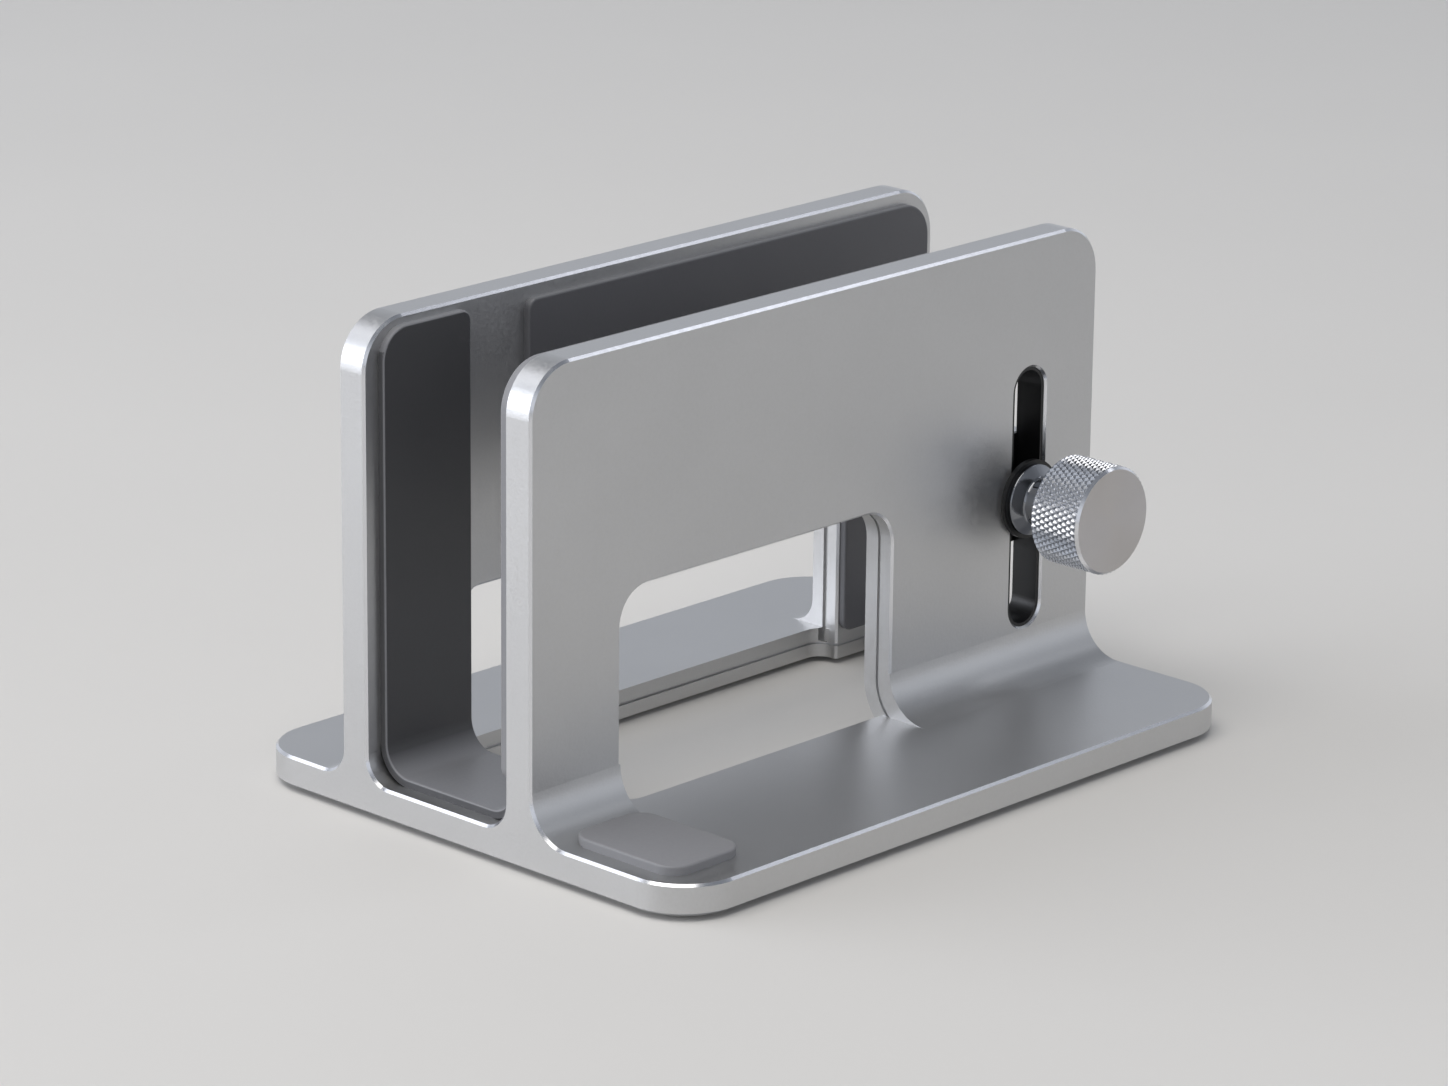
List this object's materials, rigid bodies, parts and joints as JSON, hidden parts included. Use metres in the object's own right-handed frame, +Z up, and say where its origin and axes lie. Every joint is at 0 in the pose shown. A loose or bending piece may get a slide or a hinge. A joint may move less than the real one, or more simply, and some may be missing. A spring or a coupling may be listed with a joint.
{
  "type": "vertical laptop stand",
  "caption": "One-piece aluminium stand with two upright walls and open windows that holds a closed laptop on edge; a knurled screw clamp slides in a slot and presses a soft pad.",
  "frame": {"origin": "on the desk, under the middle of the base", "axes": "+X across the stand towards the wide flange and the knob, +Y along the stand towards the clamp end, +Z up"},
  "size_m": [0.1036, 0.14, 0.086],
  "materials": {
    "body_aluminium": "bead-blasted and anodised, polished edges",
    "clamp_aluminium": "satin anodised",
    "knob_aluminium": "diamond knurled, face turned",
    "collar_chrome": "polished",
    "screw_steel": "machined, zinc plated",
    "liner_silicone": "matt charcoal silicone",
    "grey_silicone": "matt grey silicone",
    "foot_rubber": "matt black rubber",
    "black_nylon": "moulded black nylon"
  },
  "bodies": {
    "stand": {"stand_body": "body_aluminium", "near_liner": "liner_silicone", "left_wall_pad": "liner_silicone", "right_wall_pad": "grey_silicone", "far_floor_pad": "liner_silicone", "flange_pad": "grey_silicone", "slot_liner": "black_nylon", "foot_near_left": "foot_rubber", "foot_near_right": "foot_rubber", "foot_far_left": "foot_rubber", "foot_far_right": "foot_rubber"},
    "clamp_carriage": {"friction_washer": "black_nylon", "slip_plate": "black_nylon", "collar_bush": "collar_chrome", "backing_plate": "clamp_aluminium"},
    "clamp_foot": {"pressure_foot": "clamp_aluminium", "pressure_pad": "liner_silicone"},
    "clamp_knob": {"knob": "knob_aluminium", "clamp_screw": "screw_steel", "retaining_clip": "screw_steel"}
  },
  "joints": [
    {"name": "carriage_slide", "type": "slide", "parent": "stand", "child": "clamp_carriage", "axis": [0, 0, 1], "range_m": [-0.0165, 0.0195]},
    {"name": "foot_travel", "type": "slide", "parent": "clamp_carriage", "child": "clamp_foot", "axis": [-1, 0, 0], "range_m": [-0.0065, 0.0055]},
    {"name": "knob_turn", "type": "hinge", "parent": "clamp_foot", "child": "clamp_knob", "pos_m": [0.0308, 0.0527, 0.03875], "axis": [-1, 0, 0], "range_deg": [-2880, 2430]}
  ],
  "couplings": [
    {"joint": "foot_travel", "follows": "knob_turn", "m_per_rad": 0.00012732}
  ]
}
